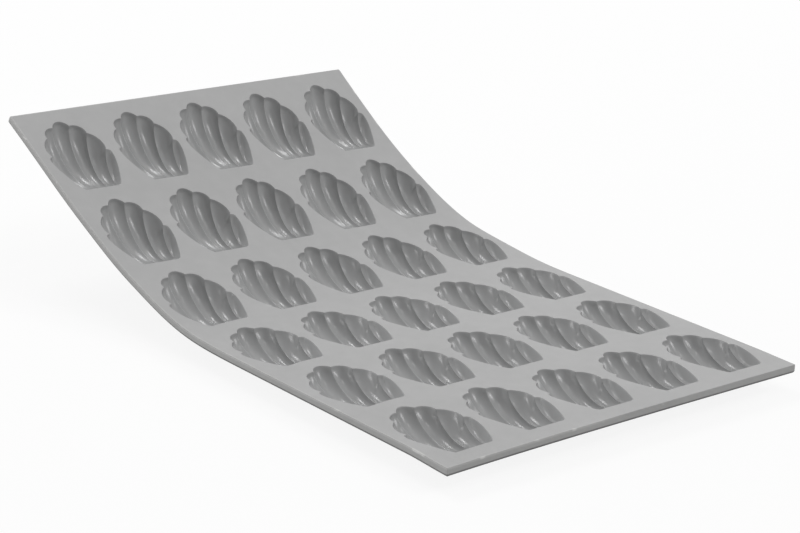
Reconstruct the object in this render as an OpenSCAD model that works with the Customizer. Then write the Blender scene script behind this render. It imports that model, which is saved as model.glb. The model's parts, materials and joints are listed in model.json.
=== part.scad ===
// Flexible silicone mould sheet with rows of scallop-shell cavities.
// It is one moulding, shown flexed: the front rows lie flat and the far end is raised in a curve.
// Lengths are in millimetres. +X runs along the sheet towards its front edge, +Z is up, and the
// origin lies on the surface that the sheet rests on, under the middle of its outline.

/* [Sheet] */
// Rows of shells along the sheet, counted from the raised end
row_count = 6; // [4:1:8]
// Shells across the sheet
column_count = 5; // [1:1:7]
// Deck between the tip of one shell and the flat end of the next along the sheet
row_gap = 6.2; // [6:0.1:15]
// Deck between one shell and the next across the sheet
column_gap = 4; // [3.4:0.1:12]
// Thickness of the flat deck and its squared rim
deck_thickness = 3.4; // [2:0.1:4.5]
// Deck beyond the outermost shells on each long side
side_margin = 4.1; // [2.5:0.1:12]
// Deck beyond the shell tips at the raised end
raised_margin = 7; // [3.5:0.1:15]
// Deck beyond the flat ends of the shells at the front edge
front_margin = 7; // [3.5:0.1:15]
// Radius of the sheet's four corners, seen from above
corner_radius = 1.5; // [0.5:0.1:3]

/* [Shell cavity] */
// Length of a cavity from its flat end to the tip of the middle lobe
shell_length = 42.5; // [36:0.1:60]
// Width of a cavity between its two longest lobes
shell_width = 30.2; // [26:0.1:40]
// Width of the flat end
flat_end_width = 17.8; // [12:0.1:20]
// Depth of a cavity at the deepest point of its middle flute
shell_depth = 10.5; // [8:0.1:14]
// Height of the ribs between the flutes, at their highest
rib_height = 1; // [0.4:0.1:2]
// Distance that the end lobes swell beyond the line between their cusps
lobe_swell = 2.2; // [0.5:0.1:3]
// Thickness of the moulding under and around a cavity
wall = 1.2; // [0.8:0.1:1.5]
// Depth that is cut flat from the underside of a cup, to stand on
foot_cut = 0.4; // [0.4:0.05:0.6]

/* [Flex] */
// Length of the web that bends between one row and the next
web_length = 2.6; // [2:0.1:2.8]
// Bend between the two rows at the raised end, in degrees
bend_raised_end = 6.1; // [0:0.1:20]
// Bend between the second and the third row, in degrees
bend_steepest = 13.8; // [0:0.1:20]
// Bend where the third row lifts off the surface, in degrees
bend_lift_off = 10.3; // [0:0.1:20]

/* [Hidden] */
// Bend at each web, from the raised end: the rows past the third web lie flat
bends = [for (k = [1:row_count - 1])
    k == 1 ? bend_raised_end : k == 2 ? bend_steepest : k == 3 ? bend_lift_off : 0];
row_pitch = shell_length + row_gap;
column_pitch = shell_width + column_gap;
deck_row_length = row_pitch - web_length;
deck_width = (column_count - 1) * column_pitch + shell_width + 2 * side_margin;
// Height of the deck's middle over the surface, where the sheet lies flat on the feet of its cups
foot_depth = shell_depth + wall - foot_cut;
deck_middle_z = foot_depth - deck_thickness / 2;

// Cusps between the lobes on one side, from the tip to the flank: share of length, share of half width
cusps = [[0.92, 0.27], [0.788, 0.64], [0.536, 0.875]];
flute_count = 2 * len(cusps) + 1;
// Straight pieces that stand for the curve of an inner flute
flute_steps = 3;
// Places of the cross-sections along a flute, as shares of its run from the flat end to the rim
runs_inside = [0, 0.07, 0.27, 0.55, 0.85, 1];
runs_outside = [0, 0.33, 0.62, 0.86, 1];
// Swell of the two flank lobes, its skew towards their cusps, and the share of the lobe where it peaks
flank_swell = 2.75;
flank_skew = 0.515;
flank_peak = 0.75;
// Fullness of the arches that shape a lobe, the run of a flute and the section across a shell
lobe_fullness = 0.75;
run_fullness = 0.64;
side_power = 2.2;
// The underside is this much fuller than the cavity, so that its longer facets keep the wall
under_fullness = 1.04;
// Least width of a flank flute where it starts at the flat end
flank_root = 0.35;

// Flex of the sheet

// Slope of a row: the sum of the bends between it and the front row
function slope(r) = r >= row_count ? 0 : bends[r - 1] + slope(r + 1);
// Direction towards the raised end along a row, in the plane of X and Z
function back_along(r) = [-cos(slope(r)), sin(slope(r))];
// Middle of web k, between rows k and k + 1, measured from the middle of the front row
function web_middle(k) = k == row_count - 1
    ? [-row_pitch / 2, 0]
    : web_middle(k + 1) + row_pitch * back_along(k + 1);
function row_middle(r) = r == row_count
    ? [0, 0]
    : web_middle(r) + row_pitch / 2 * back_along(r);

// Ends of the outline along X: the front edge, and the lower corner of the raised edge
front_x = shell_length / 2 + front_margin;
raised_x = row_middle(1)[0] - (shell_length / 2 + raised_margin) * cos(slope(1))
    - deck_thickness / 2 * sin(slope(1));
middle_x = (front_x + raised_x) / 2;

function column_y(c) = (c - (column_count + 1) / 2) * column_pitch;

// Puts a piece at the middle of row r, with that row's slope
module at_row(r) {
    place = row_middle(r);
    translate([place[0] - middle_x, 0, deck_middle_z + place[1]])
        rotate([0, slope(r), 0])
            children();
}

// Shape of a cavity: a is the distance from the flat end, b the distance from the middle line

// Points between two cusps, as shares of the length and half width: even steps round a mirrored list
function anchor(n) = n == 0 ? [0, -flat_end_width / 2]
    : n == flute_count ? [0, flat_end_width / 2]
    : n <= len(cusps) ? [cusps[len(cusps) - n][0] * shell_length, -cusps[len(cusps) - n][1] * shell_width / 2]
    : let (m = anchor(flute_count - n)) [m[0], -m[1]];

function swell(n) = n == 0 || n == flute_count - 1 ? flank_swell
    : n == len(cusps) ? shell_length - cusps[0][0] * shell_length
    : lobe_swell;
// Flank lobes swell most near their cusp, the others in their middle
function skewed(n, t) = n == 0 ? 1 - pow(1 - t, flank_skew)
    : n == flute_count - 1 ? pow(t, flank_skew)
    : t;
// Arch from 0 to 1 and back as t runs from 0 to 1
function arch(t, fullness) = pow(max(0, 4 * t * (1 - t)), fullness);

// Outline at station u, which counts flutes from one corner of the flat end round to the other
function outline(u) =
    let (n = min(floor(u), flute_count - 1), t = u - n, p = anchor(n), q = anchor(n + 1),
         side = (q - p) / norm(q - p))
    p + t * (q - p) + swell(n) * arch(skewed(n, t), lobe_fullness) * [side[1], -side[0]];

// Start of station u along the flat end: the inner flutes share it, the flank flutes are narrow
function flat_end(u) =
    let (inner = flute_count - 2, half = flat_end_width / 2 - flank_root)
    u <= 1 ? [0, -flat_end_width / 2 + u * flank_root]
    : u >= flute_count - 1 ? [0, flat_end_width / 2 - (flute_count - u) * flank_root]
    : [0, (2 * (u - 1) / inner - 1) * half];

// Depth over the plan: an arch along the flute, an arch across the shell, and a rib at each cusp line
function across(u) = 1 - pow(abs(2 * u / flute_count - 1), side_power);
// A flute's floor is level across its middle third, and a rib rises to each side of it
function rib(u) =
    let (t = u - min(floor(u), flute_count - 1))
    rib_height * (1 - min(1, arch(t, lobe_fullness) / arch(1 / flute_steps, lobe_fullness)));
function depth(u, v) = arch(v, run_fullness) * across(u) * (shell_depth - rib(u));

function plan(u, v) = flat_end(u) + v * (outline(u) - flat_end(u));
// The underside is the same plan, spread so that the wall keeps its thickness
function spread(p) = [
    shell_length / 2 + (p[0] - shell_length / 2) * (1 + 2 * wall / shell_length),
    p[1] * (1 + 2 * wall / shell_width)];
function under_depth(u, v) = max(deck_thickness, min(foot_depth, depth(u, v) * under_fullness + wall));

// From the plan to the row's own axes: the flat end faces the front, the deck's top is half above
function in_row(p, down) = [shell_length / 2 - p[0], p[1], deck_thickness / 2 - down];

// Stations round the outline, from one corner of the flat end to the other
stations = concat(
    [0, flank_peak],
    [for (n = [1:flute_count - 2]) for (i = [0:flute_steps - 1]) n + i / flute_steps],
    [flute_count - 1, flute_count - flank_peak, flute_count]);
across_count = len(stations) - 1;
// Plan of the whole rim: along the flat end, then back round the lobes
rim = concat([for (u = stations) flat_end(u)],
    [for (i = [across_count - 1:-1:1]) outline(stations[i])]);

// Pieces

// One shell cup: the fluted cavity, a lip flush with the deck, and a fluted underside with a flat foot
module cup() {
    inner_rows = len(runs_inside) - 1;
    under_rows = len(runs_outside) - 1;
    inner = [for (v = runs_inside) for (u = stations) in_row(plan(u, v), depth(u, v))];
    under = [for (v = runs_outside) for (u = stations) in_row(spread(plan(u, v)), under_depth(u, v))];
    lip = [for (p = rim) in_row(spread(p), 0)];
    width = across_count + 1;
    under_at = len(inner);
    lip_at = under_at + len(under);
    rim_count = len(rim);
    // Index of each rim point in a grid that has the given number of rows
    function rim_index(k, rows) = k <= across_count ? k : rows * width + 2 * across_count - k;
    // Two triangles for each patch of a grid; the corner stations meet the rim in a single point
    function patch(i, j) = let (a = j * width + i, b = a + 1, c = b + width, d = a + width)
        i == 0 ? [j == 0 ? [0, 1, c] : [0, b, c]]
        : i == across_count - 1 ? [[a, across_count, d]]
        : [[a, b, c], [a, c, d]];
    function grid(rows) = [for (j = [0:rows - 1]) for (i = [0:across_count - 1]) each patch(i, j)];
    function turned(faces, shift) = [for (f = faces) [f[2] + shift, f[1] + shift, f[0] + shift]];
    function strip(k, first, second) = let (m = (k + 1) % rim_count)
        [[first[k], second[m], second[k]], [first[k], first[m], second[m]]];
    inner_rim = [for (k = [0:rim_count - 1]) rim_index(k, inner_rows)];
    under_rim = [for (k = [0:rim_count - 1]) under_at + rim_index(k, under_rows)];
    lip_rim = [for (k = [0:rim_count - 1]) lip_at + k];
    color([0.60, 0.60, 0.60])
        polyhedron(
            points = concat(inner, under, lip),
            faces = concat(
                turned(grid(inner_rows), 0),
                [for (f = grid(under_rows)) [f[0] + under_at, f[1] + under_at, f[2] + under_at]],
                [for (k = [0:rim_count - 1]) each strip(k, inner_rim, lip_rim)],
                [for (k = [0:rim_count - 1]) each strip(k, lip_rim, under_rim)]),
            convexity = 8);
}

// Outline of one row's deck, which reaches to the rim in the first and the last row
module deck_outline(r) {
    back = r == 1 ? shell_length / 2 + raised_margin : deck_row_length / 2;
    front = r == row_count ? shell_length / 2 + front_margin : deck_row_length / 2;
    difference() {
        translate([-back, -deck_width / 2]) square([back + front, deck_width]);
        if (r == 1) rounded_corners(-back, 1);
        if (r == row_count) rounded_corners(front, -1);
    }
}

// Waste at the two corners of an end edge at the given place; inwards is 1 or -1 along X
module rounded_corners(edge, inwards) {
    for (side = [-1, 1])
        translate([edge + inwards * corner_radius, side * (deck_width / 2 - corner_radius)])
            difference() {
                translate([-inwards * corner_radius, side * corner_radius])
                    square(2 * corner_radius, center = true);
                circle(r = corner_radius, $fn = 48);
            }
}

// Flat deck of one row, with an opening for the lip of each cup
module row_deck(r) {
    color([0.66, 0.66, 0.66])
        translate([0, 0, -deck_thickness / 2])
            linear_extrude(deck_thickness)
                difference() {
                    deck_outline(r);
                    for (c = [1:column_count])
                        translate([0, column_y(c)])
                            polygon([for (p = rim) let (q = in_row(spread(p), 0)) [q[0], q[1]]]);
                }
}

// Web between rows k and k + 1, bent in an arc that meets both decks square
module web(k) {
    bend = bends[k - 1];
    color([0.66, 0.66, 0.66])
        if (bend == 0)
            translate([-row_pitch / 2, 0, 0])
                cube([web_length, deck_width, deck_thickness], center = true);
        else
            let (radius = web_length / 2 / tan(bend / 2))
                translate([(web_length - row_pitch) / 2, deck_width / 2, radius])
                    rotate([90, 0, 0])
                        rotate([0, 0, -90 - bend])
                            rotate_extrude(angle = bend, $fn = 96)
                                translate([radius - deck_thickness / 2, 0])
                                    square([deck_thickness, deck_width]);
}

for (r = [1:row_count])
    at_row(r) row_deck(r);
for (k = [1:row_count - 1])
    at_row(k + 1) web(k);
for (r = [1:row_count])
    for (c = [1:column_count])
        at_row(r) translate([0, column_y(c), 0]) cup();
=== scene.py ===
"""Visual model and studio view of a flexible silicone mould sheet with shell-shaped cavities.

The sheet is one moulding, so its skin has no joins. It is cut across the middle of each row into
seven closed pieces: the two end pieces follow the end rows, and each of the five pieces between
them spans one hinge and is shaped to its bend at rest. Lengths are in millimetres until a mesh is
written in metres. The finish and the studio work in metres.
"""

import json
import logging
import math
from dataclasses import dataclass
from enum import Enum
from functools import cached_property
from typing import ClassVar

import bpy
import numpy as np
from mathutils import Matrix, Vector

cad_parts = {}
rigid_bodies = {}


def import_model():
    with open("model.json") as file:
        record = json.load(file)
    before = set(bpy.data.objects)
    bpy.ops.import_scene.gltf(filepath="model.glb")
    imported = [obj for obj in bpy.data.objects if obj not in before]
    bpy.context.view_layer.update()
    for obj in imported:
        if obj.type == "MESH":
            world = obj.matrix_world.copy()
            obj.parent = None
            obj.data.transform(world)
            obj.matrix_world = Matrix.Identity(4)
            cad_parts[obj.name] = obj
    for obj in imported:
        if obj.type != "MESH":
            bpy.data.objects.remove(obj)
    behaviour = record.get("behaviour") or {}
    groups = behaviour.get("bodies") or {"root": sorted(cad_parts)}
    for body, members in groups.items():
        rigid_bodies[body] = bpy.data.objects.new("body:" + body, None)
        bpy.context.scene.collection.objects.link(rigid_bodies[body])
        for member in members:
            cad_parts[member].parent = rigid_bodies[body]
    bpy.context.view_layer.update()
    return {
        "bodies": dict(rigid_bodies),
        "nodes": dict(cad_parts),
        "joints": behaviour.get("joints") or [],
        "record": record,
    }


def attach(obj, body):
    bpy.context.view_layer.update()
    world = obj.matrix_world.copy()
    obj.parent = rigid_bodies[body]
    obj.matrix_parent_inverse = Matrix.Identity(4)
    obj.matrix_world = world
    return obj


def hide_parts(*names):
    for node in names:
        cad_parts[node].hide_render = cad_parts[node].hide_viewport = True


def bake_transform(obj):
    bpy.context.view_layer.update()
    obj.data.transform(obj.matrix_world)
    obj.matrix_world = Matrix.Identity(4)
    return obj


LOG = logging.getLogger("mould_sheet")
# A millimetre in metres.
MM = 0.001
# Points nearer than this, in millimetres, are one point.
WELD_STEP = 1e-4
# Keeps a division by a length of nothing from failing.
TINY = 1e-12
Array = np.ndarray


class Half(Enum):
    """The two halves of a row, cut at its middle. The value is the side that the half is on."""

    FLAT_END = 1
    TIP = -1


class Skin(Enum):
    """The two faces of the sheet. The value is the way that each faces."""

    TOP = 1
    UNDER = -1


def arch(t: Array, fullness: float | Array) -> Array:
    """Rises from 0 to 1 and falls back to 0 as t runs from 0 to 1: 4 t (1 - t), to a power.

    Args:
        t: Places along the arch, 0 to 1.
        fullness: The power. Under 1 the arch is fuller than a parabola.

    Returns:
        The arch's height at each place.
    """
    return np.power(np.clip(4 * t * (1 - t), 0, None), fullness)


def smooth_step(t: Array) -> Array:
    """Goes from 0 to 1 with level ends: 3 t squared less 2 t cubed."""
    t = np.clip(t, 0, 1)
    return t * t * (3 - 2 * t)


def eased(count: int) -> Array:
    """Count steps from 0 to 1 that crowd towards both ends, as half a cosine wave does."""
    return (1 - np.cos(np.linspace(0, np.pi, count + 1))) / 2


def share_of_run(points: Array) -> Array:
    """How far along a run of points each one is.

    Args:
        points: The points, in order.

    Returns:
        The share of the run's length, 0 to 1, at each point.
    """
    steps = np.linalg.norm(np.diff(points, axis=0), axis=1)
    run = np.concatenate([[0.0], np.cumsum(steps)])
    return run / run[-1]


@dataclass(frozen=True)
class ShellForm:
    """The form of one cavity and of the cup under it: the solid model's, with softer ribs and lips.

    A shell is drawn by rays that run from its flat end to its scalloped outline. A ray is numbered
    from 0 to 7, one unit a flute, and v runs along it from 0 to 1.
    """

    length: float = 42.5
    width: float = 30.2
    flat_end_width: float = 17.3
    flat_end_inset: float = 0.5
    depth: float = 10.5
    rib_height: float = 1.4
    rib_rounding: float = 0.3
    lobe_swell: float = 2.2
    flank_swell: float = 2.75
    flank_skew: float = 0.515
    flank_root: float = 0.35
    lobe_fullness: float = 0.75
    run_fullness: float = 0.64
    flat_end_slack: float = 0.14
    side_power: float = 2.2
    under_fullness: float = 1.04
    wall: float = 1.2
    foot_cut: float = 0.4
    lip: float = 0.3
    flat_end_lip: float = 1.0
    tip_lip: float = 0.3
    tips_from: float = 0.12
    tips_run: float = 0.3
    fillet: float = 0.6
    cusps: tuple = ((0.92, 0.27), (0.788, 0.64), (0.536, 0.875))
    edge_steps: int = 60
    halvings: int = 60

    @property
    def flutes(self) -> int:
        """The number of flutes, one between each two corners of the outline."""
        return 2 * len(self.cusps) + 1

    @cached_property
    def corners(self) -> Array:
        """The corners between the flutes, round the shell from ray 0.

        Returns:
            The corners, as (along, across).
        """
        right = [(a * self.length, b * self.width / 2) for a, b in self.cusps]
        right.append((self.flat_end_inset, self.flat_end_width / 2))
        left = [(a, -b) for a, b in right[::-1]]
        return np.array(left + right)

    def outline(self, ray: Array) -> Array:
        """The shell's outline: each flute swells outward from the chord between its two corners.

        Args:
            ray: Ray numbers.

        Returns:
            The points (along, across) where the rays end.
        """
        last = self.flutes - 1
        flute = np.clip(np.floor(ray), 0, last).astype(int)
        t = ray - flute
        start, end = self.corners[flute], self.corners[flute + 1]
        chord = end - start
        outward = np.stack([chord[..., 1], -chord[..., 0]], -1)
        outward /= np.linalg.norm(chord, axis=-1, keepdims=True)
        swells = np.full(self.flutes, self.lobe_swell)
        swells[[0, last]] = self.flank_swell
        swells[self.flutes // 2] = self.length * (1 - self.cusps[0][0])
        lean = np.where(flute == last, t**self.flank_skew, t)
        lean = np.where(flute == 0, 1 - (1 - t) ** self.flank_skew, lean)
        swell = swells[flute] * arch(lean, self.lobe_fullness)
        return start + t[..., None] * chord + swell[..., None] * outward

    def flat_end(self, ray: Array) -> Array:
        """The straight end, where the rays start.

        Args:
            ray: Ray numbers.

        Returns:
            The points (along, across) where the rays start.
        """
        half = self.flat_end_width / 2
        inner = (2 * (ray - 1) / (self.flutes - 2) - 1) * (half - self.flank_root)
        low = -half + ray * self.flank_root
        high = half - (self.flutes - ray) * self.flank_root
        across = np.where(ray <= 1, low, np.where(ray >= self.flutes - 1, high, inner))
        return np.stack([np.full_like(across, self.flat_end_inset), across], -1)

    def plan(self, ray: Array, v: Array) -> Array:
        """The points (along, across) at the share v of the way along the rays."""
        start = self.flat_end(ray)
        return start + v[..., None] * (self.outline(ray) - start)

    def hollow(self, ray: Array, v: Array) -> Array:
        """The cavity's depth: an arch along the ray, times a bowl across the rays, less the ribs.

        The arch rises less steeply at the flat end than at the tip. A rib is as high as the
        flute's own arch is low, and that arch is rounded off where it meets the next: the root of
        its square plus r squared, less r, as a share of the same at its top.

        Args:
            ray: Ray numbers.
            v: Shares of the way along the rays.

        Returns:
            The depth at each place.
        """
        t = ray - np.clip(np.floor(ray), 0, self.flutes - 1)
        r = self.rib_rounding
        bulge = (np.hypot(arch(t, 1.0), r) - r) / (math.hypot(1, r) - r)
        rib = self.rib_height * (1 - bulge**self.lobe_fullness)
        across = 1 - np.abs(2 * ray / self.flutes - 1) ** self.side_power
        fullness = self.run_fullness + self.flat_end_slack * (1 - v)
        return arch(v, fullness) * across * (self.depth - rib)

    @cached_property
    def edge(self) -> Array:
        """A fine run of points round the whole shell, its straight end included."""
        rays = np.linspace(0, self.flutes, self.edge_steps * self.flutes + 1)
        return np.concatenate([self.outline(rays), self.corners[:1]])

    def inset(self, plan: Array) -> Array:
        """How far in from the shell's edge each plan point is.

        Args:
            plan: Points (along, across).

        Returns:
            The least distance from each point to any step of the edge.
        """
        start, step = self.edge[:-1], np.diff(self.edge, axis=0)
        away = plan.reshape(-1, 1, 2) - start
        share = np.clip((away * step).sum(-1) / np.maximum((step * step).sum(-1), TINY), 0, 1)
        gap = away - share[..., None] * step
        return np.hypot(gap[..., 0], gap[..., 1]).min(1).reshape(plan.shape[:-1])

    def lip_share(self, plan: Array) -> Array:
        """The share of the cavity's full depth near its edge: 1 - exp(-(inset / radius) squared).

        The radius is wide along the flat end and its corners, and tight round the scalloped part.

        Args:
            plan: Points (along, across).

        Returns:
            The share at each point.
        """
        tips = smooth_step((plan[..., 0] / self.length - self.tips_from) / self.tips_run)
        radius = self.flat_end_lip + tips * (self.tip_lip - self.flat_end_lip)
        return 1 - np.exp(-((self.inset(plan) / radius) ** 2))

    def top_depth(self, hollow: Array) -> Array:
        """The depth of the top skin below the deck, with a small round lip at its start."""
        return np.hypot(hollow * (1 + self.lip / self.depth), self.lip) - self.lip

    def under_depth(self, hollow: Array, deck: float) -> Array:
        """The depth of the under skin: a cup's underside, cut level at the foot, and the deck's.

        Args:
            hollow: The cavity's depth.
            deck: The deck's thickness.

        Returns:
            The depth below the deck's top face.
        """

        def joined(depth: Array) -> Array:
            """A depth under the foot's cut and past the deck's under face, both rounded off.

            Args:
                depth: The depth before.

            Returns:
                The depth after.
            """
            foot = self.depth + self.wall - self.foot_cut
            cut = (foot + depth - np.sqrt((foot - depth) ** 2 + self.lip**2)) / 2
            return (deck + cut + np.sqrt((deck - cut) ** 2 + self.fillet**2)) / 2

        edge = joined(np.float64(self.wall))
        return joined(hollow * self.under_fullness + self.wall) - edge + deck

    def spread(self, plan: Array) -> Array:
        """Plan points moved out from the shell's middle by one wall, for the cup's underside.

        Args:
            plan: Points (along, across).

        Returns:
            The moved points.
        """
        middle = np.array([self.length / 2, 0.0])
        growth = 1 + 2 * self.wall / np.array([self.length, self.width])
        return middle + (plan - middle) * growth

    @cached_property
    def seam_ray(self) -> float:
        """The ray of the first flank that ends level with the middle of the shell's length.

        Returns:
            The ray's number, found by halving.
        """
        low, high = 0.5, 1.0
        for _ in range(self.halvings):
            middle = (low + high) / 2
            short = self.outline(np.array([middle]))[0, 0] < self.length / 2
            low, high = (middle, high) if short else (low, middle)
        return (low + high) / 2


@dataclass(frozen=True)
class Twist:
    """The slight twist of the raised rows, which the straight hinges leave out."""

    start: float = -121.75
    length: float = 150.0
    half_width: float = 87.5
    end_lift: float = 0.9
    middle_lift: float = 2.4
    rise: float = 0.3

    def lift(self, sheet_place: Array) -> Array:
        """How far each point stands off its row's plane: none in the flat rows, most in the second.

        Args:
            sheet_place: Places in the flat sheet.

        Returns:
            The lift, the other way on the two sides of the sheet.
        """
        t = np.clip((self.start - sheet_place[:, 0]) / self.length, 0, 1)
        bump = arch(t, 1.0) * smooth_step(t / self.rise)
        lift = self.end_lift * smooth_step(t) + self.middle_lift * bump
        return -sheet_place[:, 1] / self.half_width * lift


@dataclass(frozen=True)
class MarginSag:
    """The slight sag of the sheet's margins, along its front edge and its left side."""

    half_width: float = 87.6
    front_start: float = 6.0
    front_run: float = 22.25
    right_sag: float = 0.35
    left_sag: float = 1.65
    left_power: float = 4.0
    side_start: float = 66.0
    side_run: float = 21.6
    side_sag: float = 0.9
    side_from: float = -175.0
    side_grows: float = 60.0
    cup_top: float = -1.7
    cup_run: float = 6.0

    def lift(self, sheet_place: Array) -> Array:
        """How far each point is lifted, which is less than nothing where the margin sags.

        Args:
            sheet_place: Places in the flat sheet.

        Returns:
            The lift. The front margin sags least at its right end, the left side sags from the
            third row on, and the cups' feet, which stand on the floor, don't sag.
        """
        x, y, z = sheet_place.T
        left = (self.half_width - y) / (2 * self.half_width)
        front = self.right_sag + (self.left_sag - self.right_sag) * left**self.left_power
        reach = smooth_step((x - self.front_start) / self.front_run)
        along = smooth_step((x - self.side_from) / self.side_grows)
        side = self.side_sag * along * smooth_step((-y - self.side_start) / self.side_run)
        deep = smooth_step((self.cup_top - z) / self.cup_run)
        return -(1 - deep) * (reach * front + (1 - reach) * side)


@dataclass(frozen=True)
class DeckForm:
    """The flat deck round the cavities."""

    rows: int = 6
    columns: int = 5
    row_pitch: float = 48.7
    column_pitch: float = 34.2
    thickness: float = 3.4
    width: float = 175.2
    end_reach: float = 28.25
    corner_radius: float = 0.5
    edge_radius: float = 0.2
    trim_inset: float = 0.6
    trim_height: float = 0.85
    trim_fullness: float = 1.15
    trim_shares: tuple = (0.06, 0.2, 0.5, 0.8, 0.94, 1.0)
    edge_steps: int = 4
    join_width: float = 1.2

    def column_y(self, column: int) -> float:
        """The place across the sheet of a column, counted from 0."""
        return (column - (self.columns - 1) / 2) * self.column_pitch

    @property
    def cells_width(self) -> float:
        """The width of all the cells of a row, without the side margins."""
        return self.columns * self.column_pitch

    @property
    def side_margin(self) -> float:
        """The width of the deck's margin at each side, past the cells."""
        return (self.width - self.cells_width) / 2

    def edge_profile(self) -> Array:
        """The rim's cross-section, from the top face to the under face.

        Returns:
            Its points, as (inset from the edge, height): a quarter round at the top, the upright
            wall, and the slanted face where the sheet was trimmed.
        """
        half, radius, steps = self.thickness / 2, self.edge_radius, self.edge_steps
        turn = np.linspace(0, np.pi / 2, steps + 1)
        top = np.stack([radius * (1 - np.sin(turn)), half - radius * (1 - np.cos(turn))], 1)
        low = self.trim_height - half
        wall = np.stack([np.zeros(steps), np.linspace(half - radius, low, steps + 1)[1:]], 1)
        share, power = np.array(self.trim_shares), self.trim_fullness
        inset = self.trim_inset * share**power
        trim = np.stack([inset, low - self.trim_height * (1 - (1 - share) ** power)], 1)
        return np.concatenate([top, wall, trim])


@dataclass
class Patch:
    """A run of surface, and whether it is one of the hidden faces where two pieces meet."""

    points: Array
    triangles: Array
    hollow: Array
    inner: bool = False

    @classmethod
    def grid(
        cls, points: Array, towards: tuple, hollow: Array | None = None, inner: bool = False
    ) -> "Patch":
        """A patch over a grid of points.

        Args:
            points: Rows of points, as (rows, columns, 3).
            towards: The way that the patch faces, on the whole.
            hollow: The cavity's depth at each point, or None on the deck.
            inner: True on a face where two pieces meet.

        Returns:
            The patch.
        """
        rows, columns = points.shape[:2]
        index = np.arange(rows * columns).reshape(rows, columns)
        a, b, c, d = index[:-1, :-1], index[1:, :-1], index[1:, 1:], index[:-1, 1:]
        halves = (a, b, c), (a, c, d)
        triangles = np.concatenate([np.stack(half, -1).reshape(-1, 3) for half in halves])
        values = np.zeros(rows * columns) if hollow is None else hollow.reshape(-1)
        return cls(points.reshape(-1, 3), triangles, values, inner).facing(towards)

    @classmethod
    def zip(cls, first: Array, second: Array, towards: tuple) -> "Patch":
        """A strip between two runs of points that go the same way across the sheet, of any counts.

        Args:
            first: The first run's points.
            second: The second run's points.
            towards: The way that the strip faces.

        Returns:
            The patch. Each step along one run makes a triangle with the point reached on the other.
        """
        a, b = first[:, 1], second[:, 1]
        shift = len(first)
        reached = shift + np.searchsorted(b[1:], a[1:] - WELD_STEP)
        steps = np.arange(len(a) - 1)
        triangles = [np.stack([steps, steps + 1, reached], 1)]
        reached = np.searchsorted(a[1:] - WELD_STEP, b[1:], side="right")
        steps = shift + np.arange(len(b) - 1)
        triangles.append(np.stack([steps, reached, steps + 1], 1))
        points = np.concatenate([first, second])
        return cls(points, np.concatenate(triangles), np.zeros(len(points))).facing(towards)

    @classmethod
    def fan(cls, points: Array, towards: tuple) -> "Patch":
        """A hidden end face over one run of points, from the first of them.

        Args:
            points: The run, round the face.
            towards: The way that the face points.

        Returns:
            The patch.
        """
        steps = np.arange(1, len(points) - 1)
        triangles = np.stack([np.zeros_like(steps), steps, steps + 1], 1)
        return cls(points, triangles, np.zeros(len(points)), True).facing(towards)

    def facing(self, towards: tuple) -> "Patch":
        """The same patch, turned so that its faces point the given way on the whole.

        Args:
            towards: The way that they point.

        Returns:
            The patch.
        """
        a, b, c = (self.points[self.triangles[:, i]] for i in range(3))
        if np.dot(np.cross(b - a, c - a).sum(0), towards) < 0:
            self.triangles = self.triangles[:, ::-1]
        return self


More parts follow.
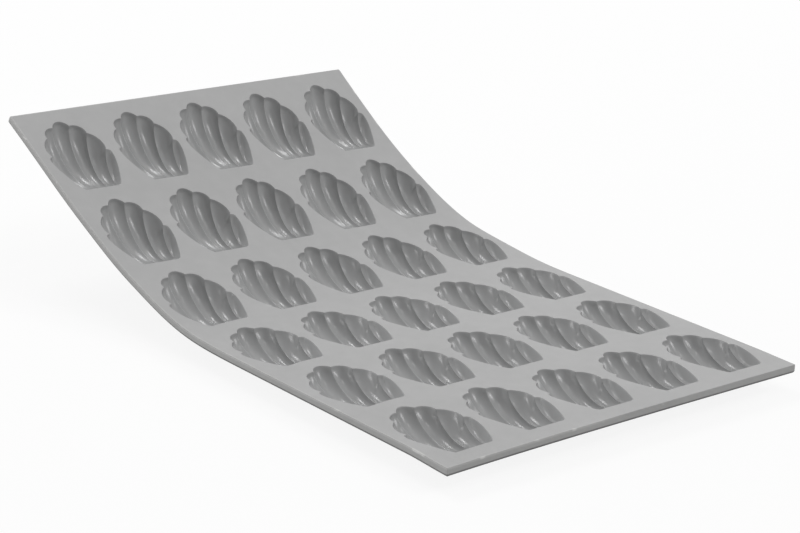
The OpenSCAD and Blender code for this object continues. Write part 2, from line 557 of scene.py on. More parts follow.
@dataclass(frozen=True)
class HalfCell:
    """Half of a row's cell: half of a cavity and the deck round it.

    Places are in the axes of the row: x along the sheet towards its front, y across it, z up from
    the middle of the deck's thickness.
    """

    shell: ShellForm
    deck: DeckForm
    half: Half
    reach: float

    flank_steps: int = 14
    flank_end_steps: int = 3
    flute_steps: int = 10
    ring_steps: int = 5
    ring_crowding: float = 1.6
    end_crowding: float = 0.8

    @cached_property
    def rays(self) -> Array:
        """The rays that the grid follows, the same ones on both halves where these meet.

        Returns:
            The ray numbers, in order.
        """
        seam, flutes = self.shell.seam_ray, self.shell.flutes
        ends = seam + (1 - seam) * np.linspace(0, 1, self.flank_end_steps + 1)[:-1]
        inner = np.concatenate([n + eased(self.flute_steps)[:-1] for n in range(1, flutes - 1)])
        rays = np.concatenate([ends, inner, [flutes - 1.0], flutes - ends[::-1]])
        if self.half is Half.FLAT_END:
            flank = seam * eased(self.flank_steps)[:-1]
            rays = np.concatenate([flank, rays, flutes - flank[::-1]])
        return rays

    @property
    def seam(self) -> slice:
        """The rays that cross the row's middle."""
        skip = self.flank_steps if self.half is Half.FLAT_END else 0
        return slice(skip, len(self.rays) - skip)

    def placed(self, plan: Array, skin: Skin, depth: Array | float) -> Array:
        """Plan points of the shell, put in the row's axes.

        Args:
            plan: Points (along, across).
            skin: Which face of the sheet they lie on.
            depth: Their depth below the deck's top face.

        Returns:
            The points (x, y, z).
        """
        plan = self.shell.spread(plan) if skin is Skin.UNDER else plan
        x = self.shell.length / 2 - plan[..., 0]
        height = self.deck.thickness / 2 - depth
        return np.stack([x, plan[..., 1], np.broadcast_to(height, x.shape)], -1)

    def cup(self, skin: Skin, steps: int) -> tuple[Array, Array]:
        """The grid over half of a cavity, or over half of the cup under it.

        Args:
            skin: Which face of the sheet.
            steps: The number of steps along each ray.

        Returns:
            The points, and the cavity's depth at each.
        """
        shell, rays = self.shell, self.rays
        along = shell.outline(rays)[:, 0]
        past = along > shell.length / 2
        share = np.ones_like(along)
        share[past] = shell.length / 2 / along[past]
        cut = np.arcsin(np.sqrt(share))[:, None]
        s = np.linspace(0, 1, steps + 1)[None, :]
        if self.half is Half.FLAT_END:
            turn = cut * (s - self.end_crowding * np.sin(2 * np.pi * s) / (2 * np.pi))
        else:
            turn = cut + (np.pi / 2 - cut) * (s + self.end_crowding * np.sin(np.pi * s) / np.pi)
        v = np.sin(turn) ** 2
        ray = np.broadcast_to(rays[:, None], v.shape)
        plan, hollow = shell.plan(ray, v), shell.hollow(ray, v)
        if skin is Skin.UNDER:
            return self.placed(plan, skin, shell.under_depth(hollow, self.deck.thickness)), hollow
        hollow = hollow * shell.lip_share(plan)
        return self.placed(plan, skin, shell.top_depth(hollow)), hollow

    @cached_property
    def rim(self) -> tuple[Array, Array, tuple[int, int]]:
        """The cavity's edge, and the cell's edge that it is joined to.

        Returns:
            Both edges, which run from the row's middle along one side, across the end and back
            along the other, and the numbers of the points at the cell's two corners.
        """
        shell, rays = self.shell, self.rays
        if self.half is Half.FLAT_END:
            skip = self.flank_steps
            sides = (rays[skip::-1], rays[-1 : -skip - 2 : -1])
            runs = [shell.outline(sides[0]), shell.flat_end(rays), shell.outline(sides[1])]
        else:
            first = self.flank_end_steps + self.flute_steps
            last = len(rays) - first - 1
            sides = (rays[: first + 1], rays[first : last + 1], rays[last:])
            runs = [shell.outline(side) for side in sides]
        x, y = self.half.value * self.reach, self.deck.column_pitch / 2
        corners = np.array([[0, -y], [x, -y], [x, y], [0, y]])
        edge = []
        for run, start, end in zip(runs, corners, corners[1:]):
            share = share_of_run(run)[:, None]
            edge.append(start + (end - start) * share)
        inner = np.concatenate([runs[0], runs[1][1:], runs[2][1:]])
        outer = np.concatenate([edge[0], edge[1][1:], edge[2][1:]])
        return inner, outer, (len(runs[0]) - 1, len(runs[0]) + len(runs[1]) - 2)

    def ring(self, skin: Skin) -> Array:
        """The grid over the deck between the cavity's edge and the cell's edge.

        Args:
            skin: Which face of the sheet.

        Returns:
            The points, as (along the edge, outwards, 3).
        """
        inner, outer, _ = self.rim
        thickness = self.deck.thickness
        start = self.placed(inner, skin, 0.0 if skin is Skin.TOP else thickness)
        end = np.concatenate([outer, np.full((len(outer), 1), skin.value * thickness / 2)], 1)
        share = np.linspace(0, 1, self.ring_steps + 1)[None, :, None] ** self.ring_crowding
        return start[:, None] + share * (end - start)[:, None]


@dataclass(frozen=True)
class HalfRow:
    """Half of a row: five half cells side by side, with the runs of points along its edges."""

    cell: HalfCell
    shift: float

    cup_steps: ClassVar[dict[tuple[Half, Skin], int]] = {
        (Half.FLAT_END, Skin.TOP): 30,
        (Half.TIP, Skin.TOP): 26,
        (Half.FLAT_END, Skin.UNDER): 20,
        (Half.TIP, Skin.UNDER): 18,
    }

    def moved(self, points: Array, column: int) -> Array:
        """Points of one cell, put in their column and in their row of the piece."""
        return points + (self.shift, self.cell.deck.column_y(column), 0.0)

    def all_columns(self, run: Array) -> Array:
        """A run of one cell's points, in all columns, without the points that two cells share."""
        columns = range(self.cell.deck.columns)
        return np.concatenate([self.moved(run, column)[min(column, 1) :] for column in columns])

    def skins(self) -> list[Patch]:
        """The patches of both faces of the sheet.

        Returns:
            A cup and a ring for each column and face.
        """
        patches = []
        for skin in Skin:
            towards = (0, 0, skin.value)
            cup, hollow = self.cell.cup(skin, self.cup_steps[self.cell.half, skin])
            hollow = hollow if skin is Skin.TOP else np.zeros_like(hollow)
            ring = self.cell.ring(skin)
            for column in range(self.cell.deck.columns):
                patches.append(Patch.grid(self.moved(cup, column), towards, hollow))
                patches.append(Patch.grid(self.moved(ring, column), towards))
        return patches

    def end_run(self, skin: Skin) -> Array:
        """The points along the row's far edge, across the sheet."""
        first, last = self.cell.rim[2]
        return self.all_columns(self.cell.ring(skin)[first : last + 1, -1])

    def side_run(self, skin: Skin, side: int) -> Array:
        """The points along one side of the row.

        Args:
            skin: Which face of the sheet.
            side: The side, -1 or 1.

        Returns:
            The points from the row's middle to its far edge.
        """
        first, last = self.cell.rim[2]
        edge = self.cell.ring(skin)[:, -1]
        if side < 0:
            return self.moved(edge[: first + 1], 0)
        return self.moved(edge[: last - 1 : -1], self.cell.deck.columns - 1)

    def seam_run(self, skin: Skin) -> Array:
        """The points across the row's middle, where this piece meets the next.

        Args:
            skin: Which face of the sheet.

        Returns:
            The points, in order across the sheet.
        """
        ring = self.cell.ring(skin)
        cup, _ = self.cell.cup(skin, 2)
        middle = cup[self.cell.seam, -1 if self.cell.half is Half.FLAT_END else 0]
        return self.all_columns(np.concatenate([ring[0, ::-1], middle[1:-1], ring[-1]]))

    def seam_faces(self) -> list[Patch]:
        """The hidden face across the row's middle, and its two ends in the rim.

        Returns:
            The three patches.
        """
        towards = (-self.cell.half.value, 0, 0)
        runs = np.stack([self.seam_run(Skin.TOP), self.seam_run(Skin.UNDER)])
        faces = [Patch.grid(runs, towards, inner=True)]
        for side in (-1, 1):
            faces.append(Patch.fan(self.rim_section(side), towards))
        return faces

    def rim_section(self, side: int) -> Array:
        """The rim's cross-section at the row's middle, with the deck's edge on both faces.

        Args:
            side: The side, -1 or 1.

        Returns:
            The points, from the top face to the under face.
        """
        deck = self.cell.deck
        profile = deck.edge_profile()
        height = deck.thickness / 2
        inset = np.concatenate([[deck.side_margin], profile[:, 0], [deck.side_margin]])
        z = np.concatenate([[height], profile[:, 1], [-height]])
        y = side * (deck.width / 2 - inset)
        return np.stack([np.full_like(y, self.shift), y, z], 1)


@dataclass(frozen=True)
class Hinge:
    """One bend of the sheet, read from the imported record."""

    place: tuple[float, float]
    bend: float


@dataclass
class SheetLayout:
    """Where each row lies at rest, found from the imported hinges.

    Roundness is the share of a true arc that each bend gets. The raised rows settle by a little
    from settle_start on, which is a distance behind the front row's middle.
    """

    joints: list[dict]
    deck: DeckForm
    roundness: float = 0.85
    settle: float = 0.6
    settle_start: float = 100.0
    bend_rounds: int = 8

    def __post_init__(self) -> None:
        """Reads each bend, and numbers it by the row behind it."""
        self.hinges: dict[int, Hinge] = {}
        for joint in self.joints:
            x, _, z = joint["pos_m"]
            row = int(joint["child"].split("_")[1])
            bend = math.radians(-joint["range_deg"][0])
            self.hinges[row] = Hinge((x / MM, z / MM), bend)

    def slope(self, row: int) -> float:
        """How steeply a row climbs towards the raised end, in radians."""
        return sum(hinge.bend for number, hinge in self.hinges.items() if number >= row)

    def middle(self, row: int) -> tuple[float, float]:
        """The middle of a row in the middle of the deck's thickness.

        Args:
            row: The row's number.

        Returns:
            The place (x, z).
        """
        front = row == self.deck.rows
        hinge = self.hinges[row - 1 if front else row]
        step = self.deck.row_pitch / 2 * (1 if front else -1)
        slope = self.slope(row)
        return hinge.place[0] + step * math.cos(slope), hinge.place[1] - step * math.sin(slope)

    def place(self, points: Array, row: int) -> Array:
        """Points in a row's axes, put where that row lies.

        Args:
            points: The points.
            row: The row's number.

        Returns:
            The placed points.
        """
        x, y, z = points.T
        slope, middle = self.slope(row), self.middle(row)
        along, up = math.cos(slope), math.sin(slope)
        return np.stack([middle[0] + x * along + z * up, y, middle[1] - x * up + z * along], 1)

    def rounding(self, x: Array) -> Array:
        """How far each bend is rounded off, on its hollow side.

        Between two row middles, a distance L apart, the sheet follows an arc of one curvature. Off
        the two rows' planes, that arc stands bend (L / 2 - s) squared / 2 L at a distance s from
        the hinge. The eased turn of bend() stands s bend (1 - its share) off them, the other way.

        Args:
            x: Places along the flat sheet.

        Returns:
            The lift off the eased turn. The raised rows then settle a little, as one.
        """
        pitch = self.deck.row_pitch
        lift = -self.settle * smooth_step((-self.settle_start - x) / pitch)
        for row, hinge in self.hinges.items():
            off = np.abs(x + (self.deck.rows - row - 0.5) * pitch)
            arc = np.maximum(pitch / 2 - off, 0) ** 2 / (2 * pitch)
            eased_off = off * (1 - smooth_step(0.5 + off / pitch))
            lift = lift + self.roundness * hinge.bend * (arc + eased_off)
        return lift

    def bend(self, points: Array, row: int) -> Array:
        """Turns the flat stretch between two rows into its bend at rest.

        A point turns about the hinge by a share of the bend that grows smoothly from the middle of
        the front row to the middle of the back row. The share depends on where the point ends up,
        so it is found in a few rounds.

        Args:
            points: Points in the plane of the front row.
            row: The back row's number.

        Returns:
            The bent points.
        """
        hinge = self.hinges[row]
        start, end = np.array(self.middle(row + 1)), np.array(self.middle(row))
        chord = end - start
        hinge_x, hinge_z = hinge.place
        x, y, z = points[:, 0] - hinge_x, points[:, 1], points[:, 2] - hinge_z
        bent = points
        for _ in range(self.bend_rounds):
            along = (bent[:, [0, 2]] - start) @ chord / (chord @ chord)
            turn = smooth_step(along) * hinge.bend
            cos, sin = np.cos(turn), np.sin(turn)
            bent = np.stack([hinge_x + x * cos + z * sin, y, hinge_z - x * sin + z * cos], 1)
        return bent


@dataclass
class SheetPiece:
    """One closed piece of the sheet, between two row middles or past the last of them."""

    name: str
    row: int
    halves: list[HalfRow]
    layout: SheetLayout

    def __post_init__(self) -> None:
        """Works out the piece's mesh, first flat and then where it lies.

        Points of neighbouring patches that fall together are merged. The flat sheet is then lifted
        by its twist, its sag and its rounding, and bent.
        """
        patches = self.patches()
        shifts = np.cumsum([0] + [len(patch.points) for patch in patches])
        points = np.concatenate([patch.points for patch in patches])
        triangles = np.concatenate([p.triangles + shift for p, shift in zip(patches, shifts)])
        inner = np.concatenate([np.full(len(patch.triangles), patch.inner) for patch in patches])
        hollow = np.concatenate([patch.hollow for patch in patches])
        keys = np.round(points / WELD_STEP).astype(np.int64)
        _, first, same = np.unique(keys, axis=0, return_index=True, return_inverse=True)
        triangles = same.reshape(-1)[triangles]
        a, b, c = triangles.T
        whole = (a != b) & (b != c) & (c != a)
        self.flat, self.hollow = points[first], hollow[first]
        self.triangles, self.inner = triangles[whole], inner[whole]
        front = self.layout.deck.rows
        self.sheet_place = self.flat - (self.layout.deck.row_pitch * (front - self.row), 0, 0)
        lift = Twist().lift(self.sheet_place) + MarginSag().lift(self.sheet_place)
        lift += self.layout.rounding(self.sheet_place[:, 0])
        lifted = self.flat + lift[:, None] * (0, 0, 1)
        placed = self.layout.place(lifted, self.row)
        self.points = self.layout.bend(placed, self.row - 1) if self.bends else placed

    @property
    def bends(self) -> bool:
        """Whether the piece crosses a hinge."""
        return len(self.halves) == 2

    def patches(self) -> list[Patch]:
        """All the surfaces that close the piece.

        Returns:
            The patches.
        """
        patches = [patch for half in self.halves for patch in half.skins() + half.seam_faces()]
        if not self.bends:
            return patches + [self.end_rim()]
        tip, flat_end = self.halves
        for skin in Skin:
            patches.append(Patch.zip(tip.end_run(skin), flat_end.end_run(skin), (0, 0, skin.value)))
        return patches + [self.side_rim(side) for side in (-1, 1)]

    def side_rim(self, side: int) -> Patch:
        """The rim along one side of a piece that bends.

        Args:
            side: The side, -1 or 1.

        Returns:
            The rim's cross-section, carried along the side.
        """
        deck = self.layout.deck
        tip, flat_end = self.halves
        front, back = tip.side_run(Skin.TOP, side), flat_end.side_run(Skin.TOP, side)
        x = np.concatenate([front, back[::-1]])[:, 0]
        section = np.broadcast_to(tip.rim_section(side), (len(x), len(deck.edge_profile()) + 2, 3))
        points = section.copy()
        points[..., 0] = x[:, None]
        return Patch.grid(points, (0, side, 0))

    def end_rim(self) -> Patch:
        """The rim round the free end of the sheet, with its two round corners.

        Returns:
            The rim's cross-section, carried round the end. A point past a corner's centre is pulled
            onto the corner's circle.
        """
        deck, (half,) = self.layout.deck, self.halves
        low, high = half.side_run(Skin.TOP, -1), half.side_run(Skin.TOP, 1)
        run = np.concatenate([low, half.end_run(Skin.TOP)[1:-1], high[::-1]])
        inner = np.array([half.cell.reach, deck.cells_width / 2])
        centre = np.array([deck.end_reach, deck.width / 2]) - deck.corner_radius
        rings = [run]
        for inset, height in deck.edge_profile():
            plan = run[:, :2] * (np.array([deck.end_reach, deck.width / 2]) - inset) / inner
            past = np.maximum(np.abs(plan) - centre, 0)
            longest, length = past.max(1), np.hypot(*past.T)
            pull = np.where(past.min(1) > 0, longest / np.maximum(length, WELD_STEP), 1)
            plan = np.where(past > 0, np.sign(plan) * (centre + past * pull[:, None]), plan)
            rings.append(np.column_stack([plan, np.full(len(run), height)]))
        rings.append(run * (1, 1, -1))
        return Patch.grid(np.stack(rings), (half.cell.half.value, 0, 0))

    def smooth_parts(self) -> tuple[Array, Array, Array]:
        """The visible faces' area-weighted normals, to be summed with the neighbours' at the joins.

        Returns:
            A key for each vertex, from its place in the flat sheet, its summed normal, and each
            hidden face's own normal.
        """
        a, b, c = (self.points[self.triangles[:, i]] for i in range(3))
        faces = np.cross(b - a, c - a)
        total = np.zeros_like(self.points)
        for corner in range(3):
            np.add.at(total, self.triangles[~self.inner, corner], faces[~self.inner])
        return np.round(self.sheet_place / WELD_STEP).astype(np.int64), total, faces

    def create(self, normals: Array, faces: Array) -> bpy.types.Object:
        """Writes the piece as a mesh object in metres.

        Args:
            normals: The unit normal at each vertex.
            faces: The normal of each triangle, used on the hidden faces.

        Returns:
            The object.
        """
        mesh = bpy.data.meshes.new(self.name)
        mesh.from_pydata((self.points * MM).tolist(), [], self.triangles.tolist())
        mesh.shade_smooth()
        length = np.maximum(np.linalg.norm(faces, axis=1, keepdims=True), TINY)
        corner = normals[self.triangles]
        corner[self.inner] = (faces / length)[self.inner, None, :]
        mesh.normals_split_custom_set(corner.reshape(-1, 3).tolist())
        place = mesh.attributes.new("sheet_place", "FLOAT_VECTOR", "POINT")
        place.data.foreach_set("vector", (self.sheet_place * MM).astype(np.float32).ravel())
        depth = mesh.attributes.new("cavity_depth", "FLOAT", "POINT")
        depth.data.foreach_set("value", (self.hollow * MM).astype(np.float32))
        piece = bpy.data.objects.new(self.name, mesh)
        bpy.context.scene.collection.objects.link(piece)
        LOG.info("%s: %d triangles", self.name, len(self.triangles))
        return piece


class NodeBoard:
    """Adds nodes to one tree and joins them."""

    def __init__(self, tree: bpy.types.NodeTree) -> None:
        """Takes the tree to work on."""
        self.tree = tree

    def add(self, kind: str, inputs: dict, **settings: object) -> bpy.types.Node:
        """Adds a node.

        Args:
            kind: The node's type, without the words that all shader nodes start with.
            inputs: A constant, or the socket to join, for each named or numbered input.
            **settings: The node's own settings.

        Returns:
            The node.
        """
        node = self.tree.nodes.new("ShaderNode" + kind)
        for name, value in settings.items():
            setattr(node, name, value)
        for key, value in inputs.items():
            if isinstance(value, bpy.types.NodeSocket):
                self.tree.links.new(value, node.inputs[key])
            else:
                node.inputs[key].default_value = value
        return node

    def work(self, operation: str, *values: object) -> bpy.types.NodeSocket:
        """A sum, product or other simple working of numbers."""
        return self.add("Math", dict(enumerate(values)), operation=operation).outputs[0]

    def step(self, value: object, low: float, high: float) -> bpy.types.NodeSocket:
        """A smooth step from 0 at low to 1 at high."""
        inputs = {"Value": value, "From Min": low, "From Max": high}
        return self.add("MapRange", inputs, interpolation_type="SMOOTHSTEP").outputs["Result"]

    def mix(self, share: object, start: object, end: object) -> bpy.types.NodeSocket:
        """A colour between two others."""
        inputs = {"Factor": share, "A": start, "B": end}
        return self.add("Mix", inputs, data_type="RGBA").outputs["Result"]

    def between(self, share: object, start: object, end: object) -> bpy.types.NodeSocket:
        """A number between two others."""
        inputs = {"Factor": share, "A": start, "B": end}
        return self.add("Mix", inputs, data_type="FLOAT").outputs["Result"]

    def about_one(self, value: object, share: float) -> bpy.types.NodeSocket:
        """A number that goes from a share below 1 to the same share above 1."""
        return self.between(value, 1 - share, 1 + share)

    def in_view(self) -> bpy.types.NodeSocket:
        """A mask for what the camera sees: straight, in gloss or through glass.

        Returns:
            The socket, 1 for such rays and 0 for those that carry light.
        """
        path = self.add("LightPath", {}).outputs
        seen = self.work("MAXIMUM", path["Is Camera Ray"], path["Is Glossy Ray"])
        return self.work("MAXIMUM", seen, path["Is Transmission Ray"])

    def noise(self, place: object, scale: float, detail: float) -> bpy.types.NodeSocket:
        """Cloudy noise, about 0 to 1, with the given number of clouds a metre."""
        inputs = {"Vector": place, "Scale": scale, "Detail": detail}
        return self.add("TexNoise", inputs).outputs["Fac"]


class EffectGroup:
    """A shader node group with named inputs and outputs, built once."""

    KINDS: ClassVar[dict[type, str]] = {
        float: "NodeSocketFloat",
        Vector: "NodeSocketVector",
        tuple: "NodeSocketColor",
    }

    def __init__(self, name: str, inputs: dict[str, type], outputs: dict[str, type]) -> None:
        """Makes the empty group.

        Args:
            name: The group's name.
            inputs: The kind of each named input.
            outputs: The kind of each named output.
        """
        self.tree = bpy.data.node_groups.new(name, "ShaderNodeTree")
        for way, sockets in (("INPUT", inputs), ("OUTPUT", outputs)):
            for label, kind in sockets.items():
                self.tree.interface.new_socket(label, in_out=way, socket_type=self.KINDS[kind])
        self.board = NodeBoard(self.tree)
        self.given = self.tree.nodes.new("NodeGroupInput").outputs
        self.result = self.tree.nodes.new("NodeGroupOutput").inputs

    def give(self, label: str, value: bpy.types.NodeSocket) -> None:
        """Joins a worked-out value to one of the group's outputs."""
        self.tree.links.new(value, self.result[label])


@dataclass(frozen=True)
class SiliconeFinish:
    """The look of moulded grey silicone: a matt deck, polished cavities and a trimmed rim, with
    light and shade painted into its colour: a little painted shade in the cavities, painted shade
    on the rim's upright face, a painted shadow along its trimmed lower edge and a painted highlight
    along its top edge.

    Lengths are in metres. A noise's scale is its number of clouds a metre.
    """

    deck_colour: tuple = (0.41, 0.41, 0.41, 1)
    # A little darker than the deck: partly the cavities' polished finish, partly painted shade in
    # the hollows.
    cavity_colour_and_shade: tuple = (0.355, 0.357, 0.358, 1)
    # Painted shade on the rim's upright face, darker than the deck because of how the light falls.
    rim_face_shade_colour: tuple = (0.34, 0.34, 0.337, 1)
    # Painted shadow on the trimmed lower edge of the rim, which faces the dark gap under the sheet.
    trim_shadow_colour: tuple = (0.12, 0.12, 0.12, 1)
    # Painted highlight along the rim's top edge.
    edge_highlight_colour: tuple = (0.56, 0.56, 0.55, 1)
    deck_roughness: float = 0.68
    cavity_roughness: float = 0.25
    ior: float = 1.41
    polish_start: float = 0.0001
    polish_end: float = 0.0006
    cloud_scale: float = 24.0
    cloud_detail: float = 3.0
    cloud_share: float = 0.07
    bloom_scale: float = 190.0
    bloom_detail: float = 5.0
    bloom_share: float = 0.05
    fine_detail: float = 2.0
    grain_scale: float = 2400.0
    grain_height: float = 0.000009
    grain_polished_off: float = 0.85
    ripple_scale: float = 150.0
    ripple_height: float = 0.00005
    face_inset: tuple = (0.00028, 0.00006)
    trim_inset: tuple = (0.0014, 0.0007)
    trim_height: tuple = (-0.0005, -0.0010)
    line_inset: tuple = (0.0009, 0.0003)
    line_height: tuple = (0.0005, 0.0014)
    # Where the painted highlight on the top edge lies: nicked patches, and a faint strip on the
    # left side.
    nick_scale: float = 85.0
    nick_noise: tuple = (0.61, 0.69)
    left_highlight_side: tuple = (0.0, -0.02)
    left_highlight_strength: float = 0.3

    def rim_painted_light(self, deck: DeckForm) -> EffectGroup:
        """The group that finds where light and shade are painted on the rim: painted shade on its
        upright face, a painted shadow on its trimmed lower edge and a painted highlight along its
        top edge.

        A place's distance from the rim is the least of its distances from the two ends and the
        nearer side of the flat sheet. The painted highlight on the top edge lies in patches where
        the edge is nicked, and in a faint strip along the left side.

        Args:
            deck: The deck's sizes.

        Returns:
            The group, from Place to the masks of the face's painted shade, the trimmed edge's
            painted shadow and the top edge's painted highlight.
        """
        outputs = {"FaceShade": float, "TrimShadow": float, "Line": float}
        group = EffectGroup("rim_painted_light", {"Place": Vector}, outputs)
        board = group.board
        place = group.given["Place"]
        x, y, z = board.add("SeparateXYZ", {0: place}).outputs
        back = (deck.rows - 1) * deck.row_pitch + deck.end_reach
        front_gap = board.work("SUBTRACT", deck.end_reach * MM, x)
        ends = board.work("MINIMUM", front_gap, board.work("ADD", x, back * MM))
        side = board.work("SUBTRACT", deck.width / 2 * MM, board.work("ABSOLUTE", y))
        inset = board.work("MINIMUM", ends, side)
        # Painted shade on the rim's upright face.
        face = board.step(inset, *self.face_inset)
        # Painted shadow on the trimmed lower edge, which faces the gap under the sheet.
        slanted = board.step(z, *self.trim_height)
        low = board.work("MULTIPLY", slanted, board.step(inset, *self.trim_inset))
        # Painted highlight along the top edge, in nicked patches and in a faint strip along the
        # left side.
        noise = board.noise(place, self.nick_scale, self.fine_detail)
        left_highlight = board.work("MULTIPLY", board.step(y, *self.left_highlight_side), self.left_highlight_strength)
        highlight_patches = board.work("MAXIMUM", board.step(noise, *self.nick_noise), left_highlight)
        near_edge = board.step(inset, *self.line_inset)
        edge = board.work("MULTIPLY", near_edge, board.step(z, *self.line_height))
        highlight_line = board.work("MULTIPLY", edge, highlight_patches)
        group.give("FaceShade", face)
        group.give("TrimShadow", low)
        group.give("Line", highlight_line)
        return group

    def cloudy_tone(self) -> EffectGroup:
        """The group that varies a colour in soft clouds and a finer bloom.

        Returns:
            The group, from Place and Colour to Colour.
        """
        group = EffectGroup("cloudy_tone", {"Place": Vector, "Colour": tuple}, {"Colour": tuple})
        board, place = group.board, group.given["Place"]
        clouds = board.noise(place, self.cloud_scale, self.cloud_detail)
        bloom = board.noise(place, self.bloom_scale, self.bloom_detail)
        clouds = board.about_one(clouds, self.cloud_share)
        tone = board.work("MULTIPLY", clouds, board.about_one(bloom, self.bloom_share))
        inputs = {0: group.given["Colour"], "Scale": tone}
        scaled = board.add("VectorMath", inputs, operation="SCALE")
        group.give("Colour", scaled.outputs["Vector"])
        return group

    def moulded_relief(self) -> EffectGroup:
        """The group for the surface's relief: fine matt grain, and faint ripples everywhere.

        The cavities are polished, so most of the grain is gone there.

        Returns:
            The group, from Place and Polish to Height in metres.
        """
        group = EffectGroup("moulded_relief", {"Place": Vector, "Polish": float}, {"Height": float})
        board, place = group.board, group.given["Place"]
        grain = board.noise(place, self.grain_scale, self.fine_detail)
        grain = board.work("MULTIPLY", grain, self.grain_height)
        polished_off = board.work("MULTIPLY", group.given["Polish"], self.grain_polished_off)
        matt = board.work("SUBTRACT", 1.0, polished_off)
        ripple = board.noise(place, self.ripple_scale, self.fine_detail)
        ripple = board.work("MULTIPLY", ripple, self.ripple_height)
        group.give("Height", board.work("ADD", board.work("MULTIPLY", grain, matt), ripple))
        return group

    def create(self, deck: DeckForm) -> bpy.types.Material:
        """Builds the material.

        Args:
            deck: The deck's sizes, for the painted light and shade along its rim.

        Returns:
            The material.
        """
        material = bpy.data.materials.new("silicone")
        material.use_nodes = True
        board = NodeBoard(material.node_tree)
        shader = material.node_tree.nodes["Principled BSDF"]
        place = board.add("Attribute", {}, attribute_name="sheet_place").outputs["Vector"]
        depth = board.add("Attribute", {}, attribute_name="cavity_depth").outputs["Fac"]
        polish_and_shade = board.step(depth, self.polish_start, self.polish_end)
        rim = board.add("Group", {}, node_tree=self.rim_painted_light(deck).tree)
        tone = board.add("Group", {}, node_tree=self.cloudy_tone().tree)
        relief = board.add("Group", {}, node_tree=self.moulded_relief().tree)
        # The cavities' colour is partly their polished finish, partly painted shade; then painted
        # shade on the
        # rim's face, a painted shadow on its trimmed edge and a painted highlight on its top edge.
        colour = board.mix(polish_and_shade, self.deck_colour, self.cavity_colour_and_shade)
        colour = board.mix(rim.outputs["FaceShade"], colour, self.rim_face_shade_colour)
        colour = board.mix(rim.outputs["TrimShadow"], colour, self.trim_shadow_colour)
        colour = board.mix(rim.outputs["Line"], colour, self.edge_highlight_colour)
        inputs = {"Height": relief.outputs["Height"], "Distance": 1.0, "Strength": 1.0}
        bump = board.add("Bump", inputs)
        roughness = board.between(polish_and_shade, self.deck_roughness, self.cavity_roughness)
        links = material.node_tree.links
        for socket in (rim.inputs["Place"], tone.inputs["Place"], relief.inputs["Place"]):
            links.new(place, socket)
        links.new(polish_and_shade, relief.inputs["Polish"])
        links.new(colour, tone.inputs["Colour"])
        links.new(tone.outputs["Colour"], shader.inputs["Base Color"])
        links.new(roughness, shader.inputs["Roughness"])
        links.new(bump.outputs["Normal"], shader.inputs["Normal"])
        shader.inputs["IOR"].default_value = self.ior
        return material


@dataclass
class MouldSheet:
    """The whole sheet: its form, its pieces and its finish."""

    frame: dict
    shell: ShellForm = ShellForm()
    deck: DeckForm = DeckForm()
    finish: SiliconeFinish = SiliconeFinish()

    def half_row(self, half: Half, shift: float, reach: float) -> HalfRow:
        """Half of a row, moved along a piece."""
        return HalfRow(HalfCell(self.shell, self.deck, half, reach), shift)

    def pieces(self) -> list[SheetPiece]:
        """The seven pieces, from the front end to the raised end.

        Returns:
            The pieces.
        """
        layout = SheetLayout(self.frame["joints"], self.deck)
        rows, pitch = self.deck.rows, self.deck.row_pitch
        joined = (pitch - self.deck.join_width) / 2
        front = [self.half_row(Half.FLAT_END, 0, pitch / 2)]
        bend = [self.half_row(Half.TIP, 0, joined), self.half_row(Half.FLAT_END, -pitch, joined)]
        raised = [self.half_row(Half.TIP, 0, pitch / 2)]
        pieces = [SheetPiece("sheet_front_end", rows, front, layout)]
        for row in range(rows, 1, -1):
            pieces.append(SheetPiece(f"sheet_bend_{row - 1}_{row}", row, bend, layout))
        pieces.append(SheetPiece("sheet_raised_end", 1, raised, layout))
        return pieces

    def build(self) -> None:
        """Makes every piece, fixes each end piece to its row and hides the solids that each piece
        stands for.

        The pieces' normals are summed where they meet, so that the skin is smooth over the joins.
        """
        pieces = self.pieces()
        parts = [piece.smooth_parts() for piece in pieces]
        keys, sums = (np.concatenate([part[i] for part in parts]) for i in range(2))
        _, same = np.unique(keys, axis=0, return_inverse=True)
        same = same.reshape(-1)
        total = np.zeros((same.max() + 1, 3))
        np.add.at(total, same, sums)
        total /= np.maximum(np.linalg.norm(total, axis=1, keepdims=True), TINY)
        normals = np.split(total[same], np.cumsum([len(part[0]) for part in parts])[:-1])
        material = self.finish.create(self.deck)
        for piece, part, normal in zip(pieces, parts, normals):
            made = piece.create(normal, part[2])
            made.data.materials.append(material)
            self.attach(made, piece)

    def attach(self, made: bpy.types.Object, piece: SheetPiece) -> None:
        """Makes an end piece follow its row, leaves a piece that bends fixed where it lies, and
        hides the solids that it takes over.

        Args:
            made: The piece's object.
            piece: What it was made from.
        """
        row = piece.row
        rows = [row, row - 1] if piece.bends else [row]
        columns = range(1, self.deck.columns + 1)
        nodes = [f"row_{number}_deck" for number in rows]
        nodes += [f"cup_{number}_{column}" for number in rows for column in columns]
        if piece.bends:
            nodes.append(f"web_{row - 1}_{row}")
            ends = [piece.layout.middle(number) for number in rows]
            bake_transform(made)
        else:
            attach(made, f"row_{row}")
        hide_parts(*nodes)


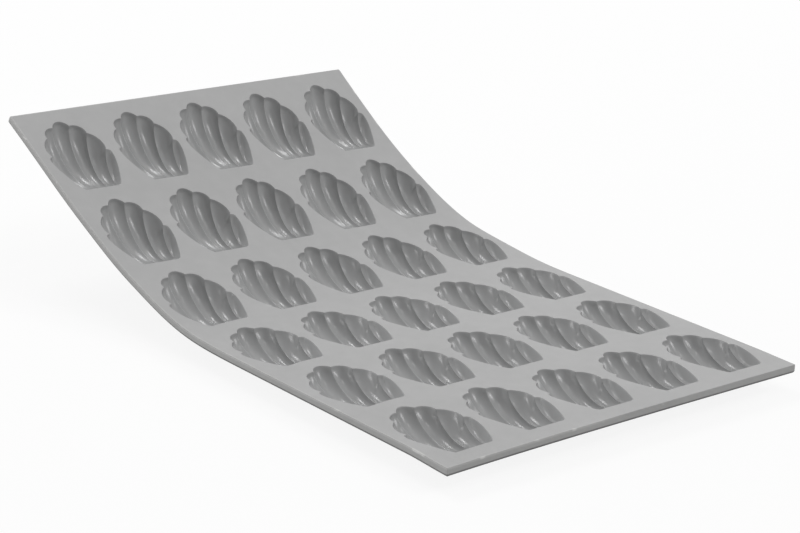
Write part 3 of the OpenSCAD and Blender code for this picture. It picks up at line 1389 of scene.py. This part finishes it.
@dataclass(frozen=True)
class SoftLight:
    """A soft box, aimed at the middle of the sheet. Angles are in degrees and power is in watts."""

    name: str
    azimuth: float
    elevation: float
    power: float
    size: float = 0.5
    distance: float = 1.6
    aim: tuple[float, float, float] = (0.0, 0.0, 0.02)

    def create(self) -> None:
        """Adds the light. Its azimuth turns from +X towards +Y, its elevation up from the floor."""
        azimuth, elevation = math.radians(self.azimuth), math.radians(self.elevation)
        level = math.cos(elevation)
        away = Vector((math.cos(azimuth) * level, math.sin(azimuth) * level, math.sin(elevation)))
        place = away * self.distance
        data = bpy.data.lights.new(self.name, "AREA")
        data.shape, data.size, data.energy = "SQUARE", self.size, self.power
        light = bpy.data.objects.new(self.name, data)
        turn = (Vector(self.aim) - place).to_track_quat("-Z", "Y").to_matrix().to_4x4()
        light.matrix_world = Matrix.Translation(place) @ turn
        bpy.context.scene.collection.objects.link(light)


@dataclass(frozen=True)
class Studio:
    """The camera, the lights and the white floor, in metres.

    The camera's lens and sensor are in millimetres.
    """

    camera_place: tuple[float, float, float] = (0.71568, -0.59329, 0.33513)
    camera_forward: tuple[float, float, float] = (-0.72592, 0.61086, -0.31605)
    camera_right: tuple[float, float, float] = (0.63261, 0.77335, 0.04171)
    focal_length: float = 109.6
    sensor_width: float = 36.0
    world_strength: float = 0.44
    floor_reach: float = 6.0
    floor_white: float = 0.9
    shadow_share: float = 0.12
    shadow_reach: float = 0.45
    shadow_fade: float = 1.3
    lights: tuple[SoftLight, ...] = (
        SoftLight("over_raised_end", 180, 55, 7.3),
        SoftLight("right", 50, 42, 17.2, size=0.8, distance=2.5),
        SoftLight("low_left", 248, 10, 6.0),
        SoftLight("low_back", 126, 7, 4.4, size=0.8),
        SoftLight("small_high", 52, 70, 1.2, size=0.07),
    )

    def add_camera(self) -> None:
        """Adds the camera at the photograph's place."""
        data = bpy.data.cameras.new("camera")
        data.lens, data.sensor_width = self.focal_length, self.sensor_width
        camera = bpy.data.objects.new("camera", data)
        forward, right = Vector(self.camera_forward).normalized(), Vector(self.camera_right)
        right = (right - forward * right.dot(forward)).normalized()
        turn = Matrix([right, right.cross(forward), -forward]).transposed()
        camera.matrix_world = Matrix.Translation(self.camera_place) @ turn.to_4x4()
        bpy.context.scene.collection.objects.link(camera)
        bpy.context.scene.camera = camera

    def floor_finish(self) -> bpy.types.Material:
        """The floor's material: a plain pale floor that the camera and gloss see almost white.

        Returns:
            The material. Round the sheet it keeps a share of the real floor in view, with the
            shadow on it. From below it is clear, so that the sheet's underside can be seen.
        """
        material = bpy.data.materials.new("floor")
        material.use_nodes = True
        tree = material.node_tree
        board = NodeBoard(tree)
        tree.nodes.remove(tree.nodes["Principled BSDF"])
        pale = board.add("BsdfDiffuse", {"Color": (*[self.floor_white] * 3, 1)})
        white = board.add("Emission", {"Color": (1, 1, 1, 1), "Strength": 1.0})
        place = board.add("TexCoord", {}).outputs["Object"]
        away = board.add("VectorMath", {0: place}, operation="LENGTH").outputs["Value"]
        near = board.step(away, self.shadow_fade, self.shadow_reach)
        kept = board.work("MULTIPLY", near, self.shadow_share)
        share = board.work("MULTIPLY", board.in_view(), board.work("SUBTRACT", 1.0, kept))
        mixed = board.add("MixShader", {0: share, 1: pale.outputs[0], 2: white.outputs[0]})
        below = board.add("NewGeometry", {}).outputs["Backfacing"]
        clear = board.add("BsdfTransparent", {})
        mixed = board.add("MixShader", {0: below, 1: mixed.outputs[0], 2: clear.outputs[0]})
        tree.links.new(mixed.outputs[0], tree.nodes["Material Output"].inputs["Surface"])
        return material

    def add_floor(self) -> None:
        """Adds the plain floor."""
        reach = self.floor_reach
        mesh = bpy.data.meshes.new("floor")
        corners = [(-reach, -reach, 0), (reach, -reach, 0), (reach, reach, 0), (-reach, reach, 0)]
        mesh.from_pydata(corners, [], [(0, 1, 2, 3)])
        floor = bpy.data.objects.new("floor", mesh)
        bpy.context.scene.collection.objects.link(floor)
        mesh.materials.append(self.floor_finish())

    def build(self) -> None:
        """Sets up the whole studio."""
        scene = bpy.context.scene
        scene.view_settings.view_transform = "Standard"
        world = scene.world or bpy.data.worlds.new("world")
        scene.world = world
        world.use_nodes = True
        tree = world.node_tree
        background = tree.nodes["Background"]
        background.inputs["Color"].default_value = (1, 1, 1, 1)
        board = NodeBoard(tree)
        strength = board.between(board.in_view(), self.world_strength, 1.0)
        tree.links.new(strength, background.inputs["Strength"])
        self.add_camera()
        self.add_floor()
        for light in self.lights:
            light.create()


def main() -> None:
    """Builds the sheet and the studio."""
    logging.basicConfig(level=logging.INFO, format="%(name)s: %(message)s")
    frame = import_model()
    MouldSheet(frame).build()
    Studio().build()


if __name__ == "__main__":
    main()
